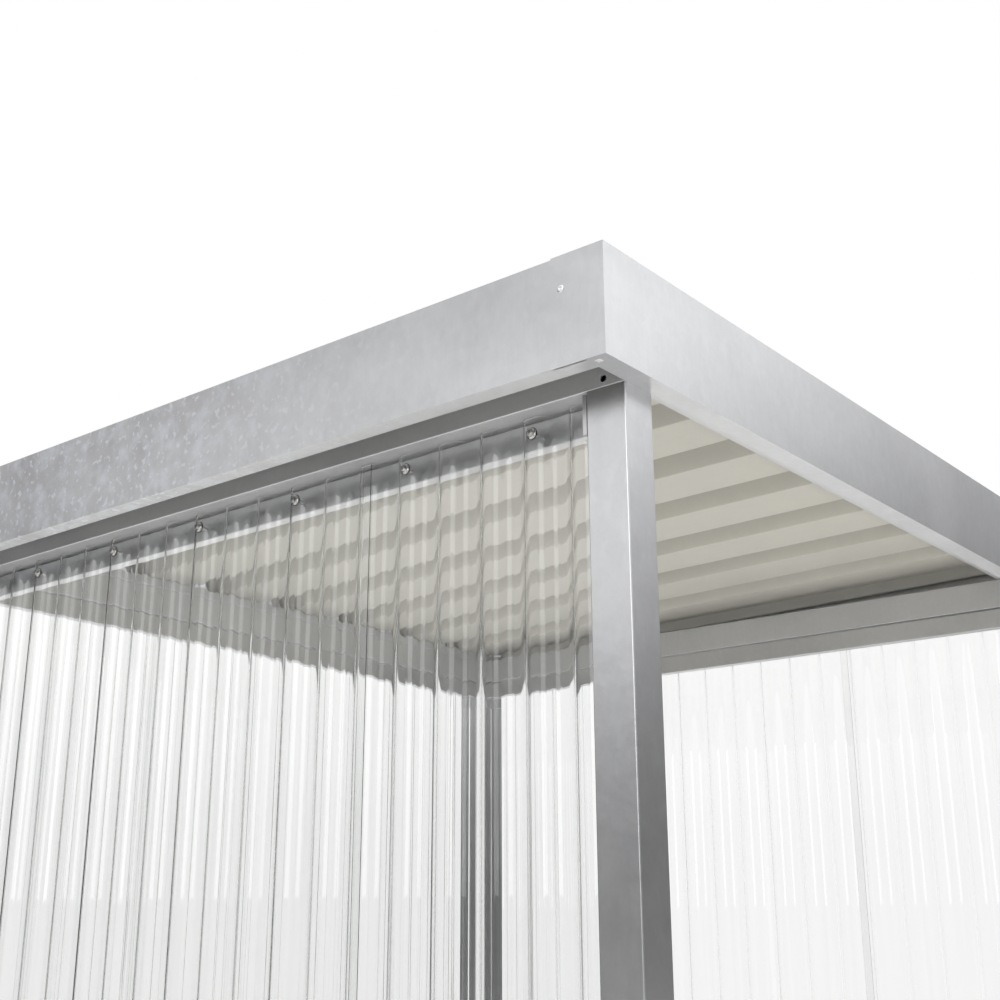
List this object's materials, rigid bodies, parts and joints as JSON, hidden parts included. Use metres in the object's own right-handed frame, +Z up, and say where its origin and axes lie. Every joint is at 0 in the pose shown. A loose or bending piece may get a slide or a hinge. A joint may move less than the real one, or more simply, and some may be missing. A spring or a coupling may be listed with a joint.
{
  "type": "smoking shelter",
  "caption": "Open-fronted galvanised tube shelter with clear corrugated walls on three sides and a ribbed steel roof behind a deep folded fascia.",
  "frame": {"origin": "middle of the footprint at ground level, on the undersides of the foot plates", "axes": "+Z up, +X to the right along the open front, the open front faces -Y"},
  "size_m": [1.762, 1.632, 2.3],
  "materials": {
    "zinc_tube": "hot-dip galvanised, mottled satin",
    "zinc_sheet": "galvanised sheet with a soft spangle",
    "clear_sheet": "clear, glossy",
    "coated_deck": "off-white coated steel, satin"
  },
  "bodies": {
    "root": {"front_left_post": "zinc_tube", "front_right_post": "zinc_tube", "back_left_post": "zinc_tube", "back_right_post": "zinc_tube", "foot_plates": "zinc_tube", "left_beam": "zinc_tube", "right_beam": "zinc_tube", "back_beam": "zinc_tube", "front_purlin": "zinc_tube", "back_purlin": "zinc_tube", "left_top_rail": "zinc_tube", "left_middle_rail": "zinc_tube", "left_bottom_rail": "zinc_tube", "right_top_rail": "zinc_tube", "right_middle_rail": "zinc_tube", "right_bottom_rail": "zinc_tube", "back_top_rail": "zinc_tube", "back_middle_rail": "zinc_tube", "back_bottom_rail": "zinc_tube", "left_front_sheet": "clear_sheet", "left_back_sheet": "clear_sheet", "right_front_sheet": "clear_sheet", "right_back_sheet": "clear_sheet", "back_left_sheet": "clear_sheet", "back_right_sheet": "clear_sheet", "left_deck": "coated_deck", "right_deck": "coated_deck", "front_fascia": "zinc_sheet", "back_fascia": "zinc_sheet", "left_fascia": "zinc_sheet", "right_fascia": "zinc_sheet"}
  },
  "joints": []
}
